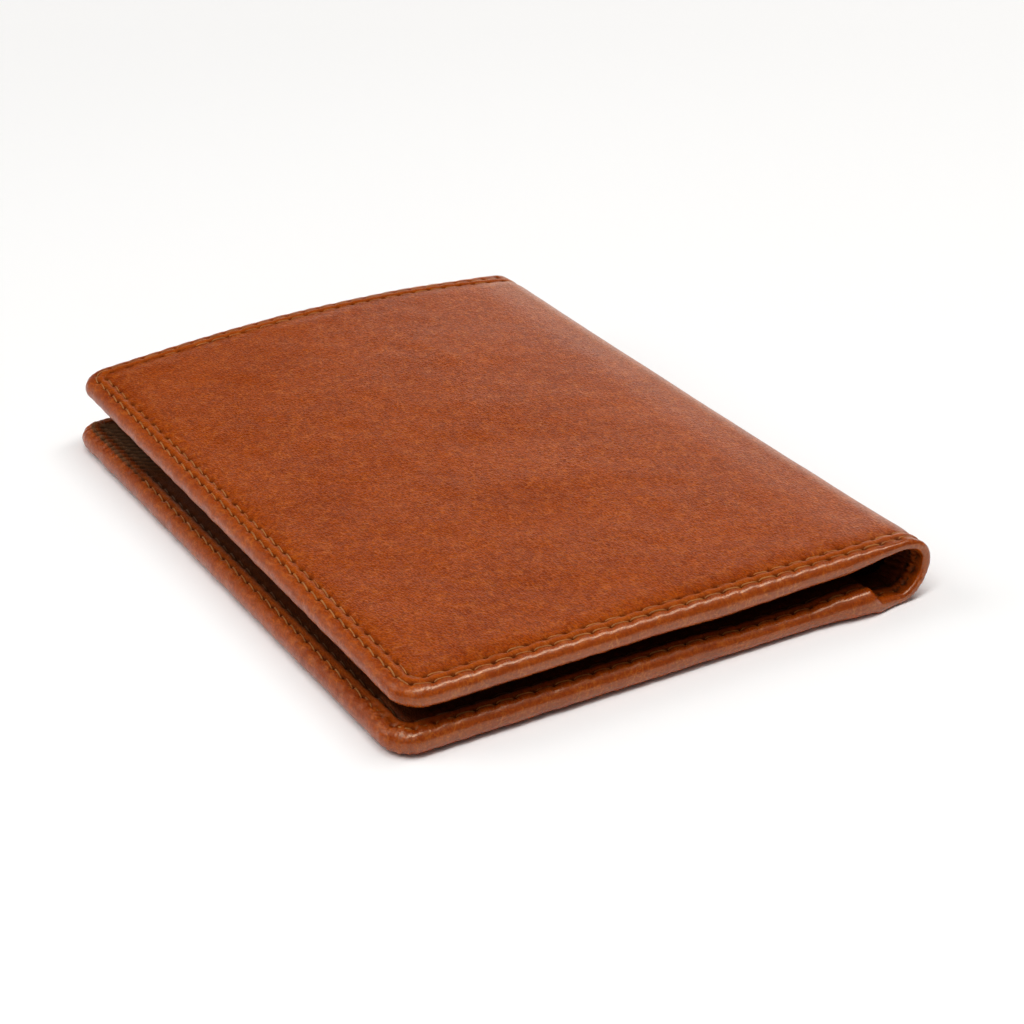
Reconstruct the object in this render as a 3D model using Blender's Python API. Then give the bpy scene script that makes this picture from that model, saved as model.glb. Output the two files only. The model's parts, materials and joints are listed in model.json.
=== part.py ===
"""A slim leather bifold card wallet, closed and lying on its back cover.

Units are metres, +Z is up, and the origin is the middle of the rectangle that the wallet covers.
The spine is on the +X side, the open edge on the -X side, and the spine runs along Y.

Every piece is first laid out on the flat sheet of cover leather: u is the distance from the line where the
spine begins, y runs along the spine, and depth is measured from the outside of the leather inwards. The sheet
is then rolled round the spine, and its upper half gets the rise and the arch that the leather has taken.
"""

import math
from collections import namedtuple

import bmesh
import bpy
from mathutils import Vector

MM = 0.001

# Driving dimensions of the closed wallet.
LENGTH = 102 * MM
WIDTH = 72.6 * MM
SPINE_RADIUS = 4.15 * MM
CORNER_RADIUS = 4.1 * MM
FRONT_SETBACK = 1.4 * MM

# The front leaf stands higher towards its +Y end, and it is arched between the open edge and the spine.
FAR_RISE = 2.0 * MM
FAR_CROWN = 2.4 * MM
CROWN_SKEW = 1.2

# Layers, from the outside of each leaf inwards.
GAP = 0.05 * MM
LEATHER = 0.65 * MM
BOARD = 0.25 * MM
LINING = 0.4 * MM
SPINE_LINING = 0.4 * MM
CARD_POCKET = 0.5 * MM
SLIP_POCKET = 0.6 * MM
BACK_THICKNESS = 3.2 * MM
FRONT_THICKNESS = 2.75 * MM

# The turned edges: the width that is turned in, and where the stitch rows run.
FLANGE_WIDTH = 6.5 * MM
STITCH_ROWS = {"outer": 1.6 * MM, "inner": 2.9 * MM}
THREAD_RADIUS = 0.18 * MM
THREAD_SIDES = 6

# Distances of the pocket mouths from the line where the spine begins.
BACK_NOTCH = 4.35 * MM
SECOND_MOUTH = 24 * MM
FRONT_NOTCH = 8.2 * MM

# The spine bends at three lines, so two strips lie between the two leaves.
STRIP_COUNT = 2
STRIP_ANGLE = math.radians(60)
END_ANGLE = (math.pi - STRIP_COUNT * STRIP_ANGLE) / 2
FACET_ANGLE = math.radians(15)

# Facets of the curved pieces.
CORNER_STEPS = 5
ROLL_STEPS = 6
CELL_U = 6.2 * MM
CELL_Y = 8.5 * MM

SPINE_X = WIDTH / 2 - SPINE_RADIUS
SPINE_ARC = math.pi * SPINE_RADIUS
END_ARC = END_ANGLE * SPINE_RADIUS
STRIP_ARC = STRIP_ANGLE * SPINE_RADIUS
FACET_ARC = FACET_ANGLE * SPINE_RADIUS

Leaf = namedtuple("Leaf", "name width thickness notch")
BACK = Leaf("back", SPINE_X + WIDTH / 2, BACK_THICKNESS, BACK_NOTCH)
FRONT = Leaf("front", SPINE_X + WIDTH / 2 - FRONT_SETBACK, FRONT_THICKNESS, FRONT_NOTCH)

MATERIALS = {
    "cover_leather": {"color": (0.33, 0.08, 0.022), "roughness": 0.38},
    "inner_leather": {"color": (0.10, 0.03, 0.012), "roughness": 0.6},
    "board": {"color": (0.45, 0.36, 0.26), "roughness": 0.85},
    "thread": {"color": (0.42, 0.20, 0.06), "roughness": 0.6},
}


# ---------------------------------------------------------------- from the flat sheet to the closed wallet


def smoothstep(value):
    value = min(max(value, 0.0), 1.0)
    return value * value * (3 - 2 * value)


def rise(x, y, share):
    """How far the leather stands above the evenly rolled shape. share is 0 on the back leaf, 1 on the front."""
    along = y / LENGTH + 0.5
    across = ((x + WIDTH / 2) / WIDTH) ** CROWN_SKEW
    return share * along * (FAR_RISE + FAR_CROWN * 4 * across * (1 - across))


def rolled(s, y, depth):
    """A point of the sheet in the closed wallet. s is 0 where the spine leaves the back leaf."""
    inner = SPINE_RADIUS - depth
    if s <= 0:
        return Vector((SPINE_X + s, y, depth))
    if s >= SPINE_ARC:
        x = SPINE_X - (s - SPINE_ARC)
        return Vector((x, y, 2 * SPINE_RADIUS - depth + rise(x, y, 1)))
    angle = s / SPINE_RADIUS
    x = SPINE_X + inner * math.sin(angle)
    share = smoothstep((angle - END_ANGLE) / (math.pi - 2 * END_ANGLE))
    return Vector((x, y, SPINE_RADIUS - inner * math.cos(angle) + rise(x, y, share)))


def on_leaf(leaf, u, y, depth):
    return rolled(-u if leaf is BACK else SPINE_ARC + u, y, depth)


def pivot_line(index):
    """The two ends of a bend line of the spine, on the outside of the leather."""
    s = END_ARC + index * STRIP_ARC
    return rolled(s, -LENGTH / 2, 0), rolled(s, LENGTH / 2, 0)


# ---------------------------------------------------------------- meshes on the flat sheet


def cut_along(bm, axis, places):
    """Cuts the faces of a mesh along planes across one axis, so that it can bend there."""
    normal = Vector([float(axis == i) for i in range(3)])
    for place in places:
        geometry = bm.verts[:] + bm.edges[:] + bm.faces[:]
        bmesh.ops.bisect_plane(bm, geom=geometry, plane_co=normal * place, plane_no=normal, dist=1e-6)


def lengthwise_places():
    count = round(LENGTH / CELL_Y)
    return [LENGTH * (i / count - 0.5) for i in range(1, count)]


def facet_places(start, end):
    """Where a stretch of the spine is cut, so that its facets follow the roll."""
    count = round((end - start) / FACET_ARC)
    return [start + (end - start) * i / count for i in range(1, count)]


def plate(outline, low, high):
    """A flat plate with this outline in u and y, between two depths."""
    bm = bmesh.new()
    face = bm.faces.new([bm.verts.new((u, y, low)) for u, y in outline])
    top = bmesh.ops.extrude_face_region(bm, geom=[face])["geom"]
    for vert in top:
        if isinstance(vert, bmesh.types.BMVert):
            vert.co.z = high
    return bm


def sweep(profile, stations):
    """A closed profile of (inset, depth) points, swept along stations that turn an inset into u and y.

    The second half of the profile comes back beside the first half, so the ends are closed by quads between them.
    """
    bm = bmesh.new()
    rings = [[bm.verts.new((*station(inset), depth)) for inset, depth in profile] for station in stations]
    count = len(profile)
    for ring, following in zip(rings, rings[1:]):
        for i in range(count):
            j = (i + 1) % count
            bm.faces.new((ring[i], ring[j], following[j], following[i]))
    for ring in (rings[0], rings[-1]):
        for i in range(count // 2 - 1):
            bm.faces.new((ring[i], ring[i + 1], ring[count - 2 - i], ring[count - 1 - i]))
    bmesh.ops.remove_doubles(bm, verts=bm.verts[:], dist=1e-7)
    return bm


def corner(leaf, side, turn, inset, shift=0.0):
    """A point of the outline at an open corner. turn goes from 0 on the side edge to 1 on the open edge."""
    reach = max(CORNER_RADIUS - inset, 0.0)
    past = max(CORNER_RADIUS, inset)
    angle = turn * math.pi / 2
    u = leaf.width - past + reach * math.sin(angle)
    return u - shift, side * (LENGTH / 2 - past + reach * math.cos(angle))


def round_corners(leaf):
    """The stations round the open edge, from the near corner to the far one."""
    turns = [i / CORNER_STEPS for i in range(CORNER_STEPS + 1)]
    near = [lambda inset, t=t: corner(leaf, -1, t, inset) for t in turns]
    far = [lambda inset, t=t: corner(leaf, 1, t, inset) for t in reversed(turns)]
    return near + far


def side_stations(leaf, side):
    """The stations of one side edge, from the notch to just short of the corner."""
    return [
        lambda inset: (leaf.notch, side * (LENGTH / 2 - inset)),
        lambda inset: corner(leaf, side, 0, inset, shift=GAP * 2),
    ]


def leaf_outline(leaf, inset, start):
    """The outline of a layer from start, near the spine, to its rounded corners at the open edge."""
    points = [(start, -LENGTH / 2 + inset)]
    for station in round_corners(leaf):
        point = station(inset)
        if math.dist(point, points[-1]) > 1e-6:
            points.append(point)
    points.append((start, LENGTH / 2 - inset))
    return points


def cover_outline(leaf):
    """The cover lies inside the rolled edges as far as the notch, and reaches the full length past it."""
    inner = leaf_outline(leaf, leaf.thickness / 2 + GAP, leaf.notch - GAP)
    end = -END_ARC + GAP
    shoulder = leaf.notch - GAP
    near = [(end, -LENGTH / 2), (shoulder, -LENGTH / 2)]
    far = [(shoulder, LENGTH / 2), (end, LENGTH / 2)]
    return near + inner + far


def turned_profile(leaf):
    """The section of a turned edge: round the outside of the layers, then in over them as a flange."""
    middle = leaf.thickness / 2
    angles = [math.pi * i / ROLL_STEPS for i in range(ROLL_STEPS + 1)]
    inner = middle - LEATHER
    outside = [(middle - middle * math.sin(a), middle - middle * math.cos(a)) for a in angles]
    inside = [(middle - inner * math.sin(a), middle - inner * math.cos(a)) for a in reversed(angles)]
    reaches = (CORNER_RADIUS, FLANGE_WIDTH)
    top = [(reach, leaf.thickness) for reach in reaches]
    under = [(reach, leaf.thickness - LEATHER) for reach in reversed(reaches)]
    return outside + top + under + inside


def thread_profile(inset, depth):
    angles = [2 * math.pi * i / THREAD_SIDES for i in range(THREAD_SIDES)]
    return [(inset + THREAD_RADIUS * math.cos(a), depth + THREAD_RADIUS * math.sin(a)) for a in angles]


# ---------------------------------------------------------------- objects


def clear_scene():
    for obj in list(bpy.data.objects):
        bpy.data.objects.remove(obj, do_unlink=True)


def make_materials():
    made = {}
    for name, look in MATERIALS.items():
        material = bpy.data.materials.new(name)
        material.use_nodes = True
        shader = material.node_tree.nodes["Principled BSDF"]
        shader.inputs["Base Color"].default_value = (*look["color"], 1)
        shader.inputs["Roughness"].default_value = look["roughness"]
        shader.inputs["Metallic"].default_value = 0.0
        material.diffuse_color = (*look["color"], 1)
        made[name] = material
    return made


def make_body(name, place):
    """An empty that carries a body's pieces. It stands on the body's bend line."""
    body = bpy.data.objects.new(name, None)
    body.empty_display_size = 5 * MM
    body.location = place
    bpy.context.collection.objects.link(body)
    return body


def add_piece(name, bm, place, body, material):
    """Moves each point of a mesh from the sheet to its place, and makes the object on its body."""
    for vert in bm.verts:
        vert.co = place(*vert.co) - body.location
    bmesh.ops.recalc_face_normals(bm, faces=bm.faces[:])
    if bm.calc_volume(signed=True) < 0:
        bmesh.ops.reverse_faces(bm, faces=bm.faces[:])
    mesh = bpy.data.meshes.new(name)
    bm.to_mesh(mesh)
    bm.free()
    mesh.materials.append(material)
    mesh.shade_smooth()
    mesh.set_sharp_from_angle(angle=math.radians(35))
    obj = bpy.data.objects.new(name, mesh)
    obj.parent = body
    bpy.context.collection.objects.link(obj)
    return obj


def add_leaf_piece(leaf, name, bm, body, material):
    """A piece of a leaf. The front leaf is arched, so its pieces are cut into cells that bend alike."""
    cut_along(bm, 0, [*facet_places(-END_ARC, 0), 0])
    if leaf is FRONT:
        cut_along(bm, 0, [CELL_U * i for i in range(1, math.ceil(leaf.width / CELL_U))])
        cut_along(bm, 1, lengthwise_places())
    add_piece(name, bm, lambda u, y, depth: on_leaf(leaf, u, y, depth), body, material)


def add_cover(leaf, body, material):
    add_leaf_piece(leaf, f"{leaf.name}_cover", plate(cover_outline(leaf), 0, LEATHER), body, material)


def add_turned_edges(leaf, body, material):
    profile = turned_profile(leaf)
    stations = {
        "near": side_stations(leaf, -1),
        "far": side_stations(leaf, 1),
        "open": round_corners(leaf),
    }
    for side, path in stations.items():
        add_leaf_piece(leaf, f"{leaf.name}_turned_edge_{side}", sweep(profile, path), body, material)


def add_layers(leaf, layers, body):
    """The layers under the turned edge, each from its own start to the open edge, from the cover inwards."""
    inset = leaf.thickness / 2 + GAP
    depth = LEATHER + GAP
    for name, thickness, start, material in layers:
        bm = plate(leaf_outline(leaf, inset, start), depth, depth + thickness)
        add_leaf_piece(leaf, name, bm, body, material)
        depth += thickness + GAP


def add_stitching(leaf, start, depth, body, material):
    """The two rows of thread along the side and open edges of a leaf, at one of its faces."""
    for row, inset in STITCH_ROWS.items():
        ends = [lambda inset, side=side: (start, side * (LENGTH / 2 - inset)) for side in (-1, 1)]
        stations = [ends[0], *round_corners(leaf), ends[1]]
        bm = sweep(thread_profile(inset, depth), stations)
        add_leaf_piece(leaf, f"{leaf.name}_stitching_{row}", bm, body, material)


def add_spine_strip(name, start, end, low, high, body, material):
    """A strip of the spine between two places on the sheet."""
    near, far = -LENGTH / 2, LENGTH / 2
    first, last = start + GAP, end - GAP
    bm = plate([(first, near), (last, near), (last, far), (first, far)], low, high)
    cut_along(bm, 0, facet_places(start, end))
    cut_along(bm, 1, lengthwise_places())
    add_piece(name, bm, rolled, body, material)


def add_spine_lining_end(leaf, body, material):
    """The end of the spine's lining, which lies on the cover between the notch and the first bend line."""
    near, far = -LENGTH / 2, LENGTH / 2
    first, last = -END_ARC + GAP, leaf.notch - GAP
    low = LEATHER + GAP
    bm = plate([(first, near), (last, near), (last, far), (first, far)], low, low + SPINE_LINING)
    add_leaf_piece(leaf, f"spine_lining_{leaf.name}", bm, body, material)


def build():
    clear_scene()
    materials = make_materials()
    cover, inner = materials["cover_leather"], materials["inner_leather"]
    board, thread = materials["board"], materials["thread"]

    pivots = [sum(pivot_line(i), Vector()) / 2 for i in range(STRIP_COUNT + 1)]
    back_body = make_body("body_back_leaf", Vector())
    strip_bodies = [make_body(f"body_spine_{i + 1}", pivots[i]) for i in range(STRIP_COUNT)]
    front_body = make_body("body_front_leaf", pivots[-1])

    add_cover(BACK, back_body, cover)
    add_turned_edges(BACK, back_body, cover)
    back_layers = [
        ("back_board", BOARD, BACK_NOTCH, board),
        ("back_lining", LINING, BACK_NOTCH, inner),
        ("card_pocket_1", CARD_POCKET, BACK_NOTCH, inner),
        ("card_pocket_2", CARD_POCKET, SECOND_MOUTH, inner),
    ]
    add_layers(BACK, back_layers, back_body)
    on_flange = BACK_THICKNESS + GAP + THREAD_RADIUS
    add_stitching(BACK, BACK_NOTCH + FLANGE_WIDTH / 4, on_flange, back_body, thread)
    add_spine_lining_end(BACK, back_body, inner)

    for i, body in enumerate(strip_bodies):
        start = END_ARC + i * STRIP_ARC
        end = start + STRIP_ARC
        add_spine_strip(f"spine_leather_{i + 1}", start, end, 0, LEATHER, body, cover)
        low = LEATHER + GAP
        add_spine_strip(f"spine_lining_{i + 1}", start, end, low, low + SPINE_LINING, body, inner)

    add_cover(FRONT, front_body, cover)
    add_turned_edges(FRONT, front_body, cover)
    front_layers = [
        ("front_board", BOARD, FRONT_NOTCH, board),
        ("front_lining", LINING, FRONT_NOTCH, inner),
        ("slip_pocket", SLIP_POCKET, FRONT_NOTCH, inner),
    ]
    add_layers(FRONT, front_layers, front_body)
    add_stitching(FRONT, 0, -GAP - THREAD_RADIUS, front_body, thread)
    add_spine_lining_end(FRONT, front_body, inner)


build()
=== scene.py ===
"""Looks of a slim leather card wallet, closed and lying on its back cover.

The cover is one sheet of leather: it is turned in and stitched along its edges, and rolled round the spine. So
every visible piece is laid out on the flat sheet first, in s (across the wallet, 0 where the spine leaves the
back leaf), y (along the spine) and depth (from the outside of the leather inwards), and then rolled up.
"""

import json
import math

import bmesh
import bpy
import numpy as np
from mathutils import Matrix, Vector


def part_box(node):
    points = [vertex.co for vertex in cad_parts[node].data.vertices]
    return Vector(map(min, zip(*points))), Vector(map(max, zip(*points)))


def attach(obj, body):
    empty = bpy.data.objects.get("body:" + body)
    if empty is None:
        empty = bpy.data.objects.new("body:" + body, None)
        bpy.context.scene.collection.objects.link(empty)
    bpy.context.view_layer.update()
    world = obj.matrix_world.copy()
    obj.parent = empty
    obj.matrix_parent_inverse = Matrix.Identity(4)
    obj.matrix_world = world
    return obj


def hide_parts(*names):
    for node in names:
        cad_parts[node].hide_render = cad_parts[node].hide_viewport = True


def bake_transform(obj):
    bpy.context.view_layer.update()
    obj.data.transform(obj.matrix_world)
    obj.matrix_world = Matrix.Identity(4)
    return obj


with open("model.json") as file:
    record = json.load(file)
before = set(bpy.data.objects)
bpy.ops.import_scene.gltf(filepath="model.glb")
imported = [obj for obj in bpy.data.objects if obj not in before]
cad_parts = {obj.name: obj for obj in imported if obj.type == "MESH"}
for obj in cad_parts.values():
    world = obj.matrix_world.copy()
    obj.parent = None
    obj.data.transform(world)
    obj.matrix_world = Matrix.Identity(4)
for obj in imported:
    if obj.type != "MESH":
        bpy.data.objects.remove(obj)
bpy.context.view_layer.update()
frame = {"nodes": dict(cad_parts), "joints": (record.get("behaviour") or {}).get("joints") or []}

MM = 0.001

# ---------------------------------------------------------------- sizes, from the frame

# The spine is half a round. Its first bend line is 30 degrees up it, and the second is the outermost.
joints = {j["name"]: j for j in frame["joints"]}
FIRST_BEND = math.radians(30)
first_x = joints["spine_bend_1"]["pos_m"][0]
HALF_WIDTH = joints["spine_bend_2"]["pos_m"][0]
RADIUS = (HALF_WIDTH - first_x) / (1 - math.sin(FIRST_BEND))
SPINE_X = HALF_WIDTH - RADIUS
ARC = math.pi * RADIUS
STRIPS = 3
STRIP_ROWS, CLOSE_ROW = 16, 0.02 * MM
low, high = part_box("back_cover")
LENGTH = high.y - low.y
BACK_WIDTH = SPINE_X + HALF_WIDTH
FRONT_WIDTH = SPINE_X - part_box("front_turned_edge_open")[0].x

# How far the front leaf has risen and arched at its far end, and from where on the spine it rises.
FAR_RISE = 2.0 * MM
FAR_CROWN = 2.4 * MM
CROWN_SKEW = 1.2
RISE_FROM = math.radians(30)
# At its near end the upper half of the spine leans out over the lower.
LEAN, LEAN_REACH = 0.45 * MM, 14 * MM
# The front leaf eases down beside the spine, more in the middle than at the ends.
SAG, SAG_REACH = 0.35 * MM, 7 * MM

# The leather and its turned edges.
SKIN = 0.5 * MM
CORNER_RADIUS = 4.1 * MM
# Rows further in than this have sharper corners, down to a square one on the panel.
ROUND_REACH = 3.0 * MM
FLANGE = 6.5 * MM
PANEL_INSET = 8.0 * MM
SPINE_EDGE = 1.3 * MM
ROWS = {"outer": 1.6 * MM, "inner": 2.9 * MM}
PITCH = 2.5 * MM
SPINE_STITCHES = 5
# Cells of the panel, the finer ones of the border that meet each of them, and cells round a corner.
CELL = 1.25 * MM
FINE = 4
CORNER_CELLS = 5


def smooth(value):
    value = np.clip(value, 0.0, 1.0)
    return value * value * (3 - 2 * value)


def ease(value, knots):
    """A smooth curve through (place, height) knots, level at each knot."""
    total = np.full_like(value, knots[0][1], dtype=float)
    for (a, low_end), (b, high_end) in zip(knots, knots[1:]):
        total += (high_end - low_end) * smooth((value - a) / (b - a))
    return total


def waves(a, b, longest, shortest, count, seed):
    """Smooth irregular undulation of about unit size, with wavelengths between two lengths."""
    rng = np.random.default_rng(seed)
    total = 0.0
    for _ in range(count):
        length = math.exp(rng.uniform(math.log(shortest), math.log(longest)))
        turn, phase = rng.uniform(0, 2 * math.pi, 2)
        total = total + np.sin(2 * math.pi * (a * math.cos(turn) + b * math.sin(turn)) / length + phase)
    return total / math.sqrt(count)


# ---------------------------------------------------------------- from the sheet to the closed wallet


def rise(x, y, share):
    """How far the front leaf has lifted here, in the share that this point takes of it."""
    along = y / LENGTH + 0.5
    across = np.clip((x + HALF_WIDTH) / (2 * HALF_WIDTH), 0, None) ** CROWN_SKEW
    return share * along * (FAR_RISE + FAR_CROWN * 4 * across * (1 - across))


def rolled(s, y, depth):
    """Points of the sheet in the closed wallet."""
    angle = np.clip(s / RADIUS, 0, math.pi)
    inner = RADIUS - depth
    x = SPINE_X + inner * np.sin(angle) + np.minimum(s, 0) - np.maximum(s - ARC, 0)
    share = smooth((angle - RISE_FROM) / (math.pi - 2 * RISE_FROM))
    z = RADIUS - inner * np.cos(angle) + rise(x, y, share)
    lean = LEAN * np.exp(-np.clip(y + LENGTH / 2, 0, None) / LEAN_REACH)
    x = x - lean * np.sin(2 * angle)
    middle = 1 - np.minimum(np.abs(2 * y / LENGTH), 1) ** 3
    beside = np.exp(-((np.maximum(s - ARC, 0) / SAG_REACH) ** 2))
    z = z - SAG * middle * smooth(2 * angle / math.pi - 1) * beside
    return np.stack(np.broadcast_arrays(x, y, np.maximum(z, 0.0)), -1)


class Leaf:
    """One half of the cover, from the spine to the open edge. u is the distance from the spine, and p a place along
    the three finished edges, from the near end of the spine round to its far end."""

    def __init__(self, name, width, side_knots, open_thickness):
        self.name = name
        self.width = width
        self.side_knots = side_knots
        self.open_thickness = open_thickness
        self.straight = width - CORNER_RADIUS
        self.turn = CORNER_RADIUS * math.pi / 2
        self.front_edge = LENGTH - 2 * CORNER_RADIUS
        self.total = 2 * (self.straight + self.turn) + self.front_edge

    def s(self, u):
        return ARC + u if self.name == "front" else -u

    def stations(self):
        """Fine places along the three finished edges, which coarse cells of the panel share."""
        counts = [FINE * cells for cells in (round(self.straight / CELL), CORNER_CELLS, round(self.front_edge / CELL))]
        self.cells = counts[0] // FINE, counts[2] // FINE
        lengths = [self.straight, self.turn, self.front_edge, self.turn, self.straight]
        places, start = [0.0], 0.0
        for length, count in zip(lengths, [*counts, counts[1], counts[0]]):
            places += [start + length * (i + 1) / count for i in range(count)]
            start += length
        return np.array(places)

    def station(self, p, inset):
        """u and y of the place p along the edge, this far in from it."""
        sharper = np.clip(1 - (inset - ROUND_REACH) / (PANEL_INSET - ROUND_REACH), 0, 1)
        radius = np.where(inset < ROUND_REACH, CORNER_RADIUS - inset, (CORNER_RADIUS - ROUND_REACH) * sharper)
        past = inset + radius
        half = self.total / 2
        q = np.minimum(p, self.total - p)
        side = np.where(p < half, -1.0, 1.0)
        along = np.clip(q / self.straight, 0, 1)
        turn = np.clip((q - self.straight) / self.turn, 0, 1) * math.pi / 2
        reach = np.clip((q - self.straight - self.turn) / (self.front_edge / 2), 0, 1)
        u = np.where(q < self.straight, along * (self.width - past), self.width - past + radius * np.sin(turn))
        y = (LENGTH / 2 - past + radius * np.cos(turn)) * (1 - reach)
        return u, side * y

    def row_length(self, inset):
        """Length of a row at this inset."""
        return self.total - 2 * (self.turn - (CORNER_RADIUS - inset) * math.pi / 2)

    def row_ends(self, inset):
        """Where the parts of the border end, along the edge itself and along a row at this inset."""
        arc = (CORNER_RADIUS - inset) * math.pi / 2
        edge = np.cumsum([0, self.straight, self.turn, self.front_edge, self.turn, self.straight])
        row = np.cumsum([0, self.straight, arc, self.front_edge, arc, self.straight])
        return edge, row

    def row_place(self, p, inset):
        """How far along a row at this inset the place p is."""
        edge, row = self.row_ends(inset)
        return np.interp(p, edge, row)

    def place_of(self, along, inset):
        """The place along the edge that is this far along a row."""
        edge, row = self.row_ends(inset)
        return np.interp(along, row, edge)

    def thickness(self, p):
        """Of the finished edge: thin beside the spine, thicker where pockets and flange are stitched in."""
        q = np.minimum(p, self.total - p)
        return ease(q, [*self.side_knots, (self.straight, self.open_thickness)])

    def pitch(self, inset):
        """Length of a stitch that fits a whole number of times in a row."""
        length = self.row_length(inset)
        return length / round(length / PITCH)


def knots_mm(*pairs):
    return [(a * MM, b * MM) for a, b in pairs]


BACK = Leaf(
    "back",
    BACK_WIDTH,
    knots_mm((0, 1.3), (3.5, 1.6), (4.9, 3.15), (9, 3.0), (13, 2.6), (22, 2.65), (30, 3.1)),
    3.15 * MM,
)
FRONT = Leaf("front", FRONT_WIDTH, knots_mm((0, 1.3), (9, 2.6), (27, 3.1), (34, 2.75)), 2.75 * MM)

# Rows of points across the turned edge, in millimetres from it: over the flange, round the roll, onto the panel.
ACROSS = [4.5, 4.0, 3.6, 3.35, 3.15, 3.0, 2.85, 2.7, 2.5, 2.25, 2.0, 1.8, 1.62]
FLANGE_INSETS = np.array([6.5, 6.42, 6.2, 5.8, 5.2, *ACROSS]) * MM
PANEL_INSETS = np.array([*reversed(ACROSS), 5.2, 6.0, 7.0, 8.0]) * MM
ROLL_STEPS = 14
ROLL_ANGLES = np.linspace(0, math.pi, ROLL_STEPS + 1)
ANGLES = np.concatenate([np.zeros(len(FLANGE_INSETS)), ROLL_ANGLES, np.full(len(PANEL_INSETS), math.pi)])
ON_FLANGE, ON_PANEL = 0.1, 3.0
LEAST_ROLL = 0.05 * MM
# The raw edge of the flange is pressed down.
TUCK = 0.15 * MM


def section(thickness, skin):
    """Inset and depth of each row across an edge of this thickness, for the outer side (skin 0) or the inner."""
    middle = np.atleast_1d(thickness) / 2
    radius = np.maximum(middle - skin, LEAST_ROLL)
    shape = (len(ANGLES), len(middle))
    inset, depth = np.empty(shape), np.empty(shape)
    flange, roll = len(FLANGE_INSETS), len(FLANGE_INSETS) + len(ROLL_ANGLES)
    inset[:flange] = FLANGE_INSETS[:, None]
    depth[:flange] = middle + radius
    inset[flange:roll] = middle - radius * np.sin(ROLL_ANGLES)[:, None]
    depth[flange:roll] = middle + radius * np.cos(ROLL_ANGLES)[:, None]
    inset[roll:] = PANEL_INSETS[:, None]
    depth[roll:] = middle - radius
    if not skin:
        depth[0] -= TUCK
    return inset, depth


# ---------------------------------------------------------------- the surface of the leather

# Heights and widths: the furrow along a row, the needle holes in it, the dip round each hole, the small folds from
# hole to edge, the ridge between the rows, and the panel's rise above the border.
FURROW, FURROW_WIDTH = 0.06 * MM, 0.24 * MM
HOLE, HOLE_RADIUS = 0.28 * MM, 0.36 * MM
SCALLOP, SCALLOP_WIDTH = 0.045 * MM, 0.9 * MM
GATHER = 0.09 * MM
RIDGE, RIDGE_WIDTH = 0.09 * MM, 0.35 * MM
PUFF = 0.12 * MM
# Undulation of the panel and of the roll: slow and quick.
SWELL, RIPPLE = 0.075 * MM, 0.03 * MM
WRINKLE, CRINKLE = 0.035 * MM, 0.012 * MM
# Creases round a corner, folds beside the near corner, and the braid of lumps beside the far one.
CORNER_CREASE = {"back": 0.06 * MM, "front": 0.03 * MM}
FOLD, FOLD_PERIOD = 0.1 * MM, 1.0 * MM
BRAID, BRAID_PERIOD, BRAID_WIDTH, BRAID_LENGTH = 0.62 * MM, 1.45 * MM, 0.5 * MM, 24 * MM
# The leather bunched along the edge of the spine, and inside it.
BUNCH, BUNCH_PERIOD = 0.07 * MM, 1.25 * MM
INNER_BUNCH, INNER_PERIOD = 0.34 * MM, 0.95 * MM
# The near edge of the back leaf stands out beside the spine.
BULGE, BULGE_PLACE, BULGE_REACH = 0.9 * MM, -5.5 * MM, 4.2 * MM


def near_hole(place, pitch, radius):
    off = (np.mod(place / pitch + 0.5, 1) - 0.5) * pitch
    return np.exp(-((off / radius) ** 2))


def stitched(inset, places):
    """How the stitches pull the leather in, the painted shade in the furrows and needle holes, and the ridge between
    the rows. places gives (distance, pitch) by row."""
    lift, dark = np.zeros_like(inset), np.zeros_like(inset)
    for row, (place, pitch) in places.items():
        off = inset - ROWS[row]
        hole = near_hole(place, pitch, HOLE_RADIUS)
        furrow = np.exp(-((off / FURROW_WIDTH) ** 2))
        lift -= furrow * (FURROW + HOLE * hole)
        # Painted shade along the furrow, deepest at each needle hole.
        dark += furrow * (0.25 + 1.05 * hole)
        wide = near_hole(place, pitch, 2.2 * HOLE_RADIUS)
        lift -= SCALLOP * np.exp(-((off / SCALLOP_WIDTH) ** 2)) * wide
        if row == "outer":
            fold = near_hole(place + 0.6 * off, pitch, 1.2 * HOLE_RADIUS)
            outside = smooth((0.2 * MM - off) / (0.3 * MM)) * smooth((inset - 0.1 * MM) / (0.9 * MM))
            lift -= GATHER * fold * outside
    between = (ROWS["outer"] + ROWS["inner"]) / 2
    ridge = np.exp(-(((inset - between) / RIDGE_WIDTH) ** 2))
    return lift + RIDGE * ridge, dark, ridge


def settled(s, y, inset):
    """Slow undulation of the leather, and the panel that stands a little above the stitched border."""
    slow = SWELL * waves(s, y, 45 * MM, 16 * MM, 14, 3) + RIPPLE * waves(s, y, 9 * MM, 4 * MM, 18, 5)
    on_spine = smooth(s / (6 * MM) + 1) * smooth((ARC + 8 * MM - s) / (8 * MM))
    slow = slow * (1 - 0.75 * on_spine)
    return slow * smooth((inset - 1 * MM) / (6 * MM)) + PUFF * smooth((inset - 3 * MM) / (2.2 * MM))


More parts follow.
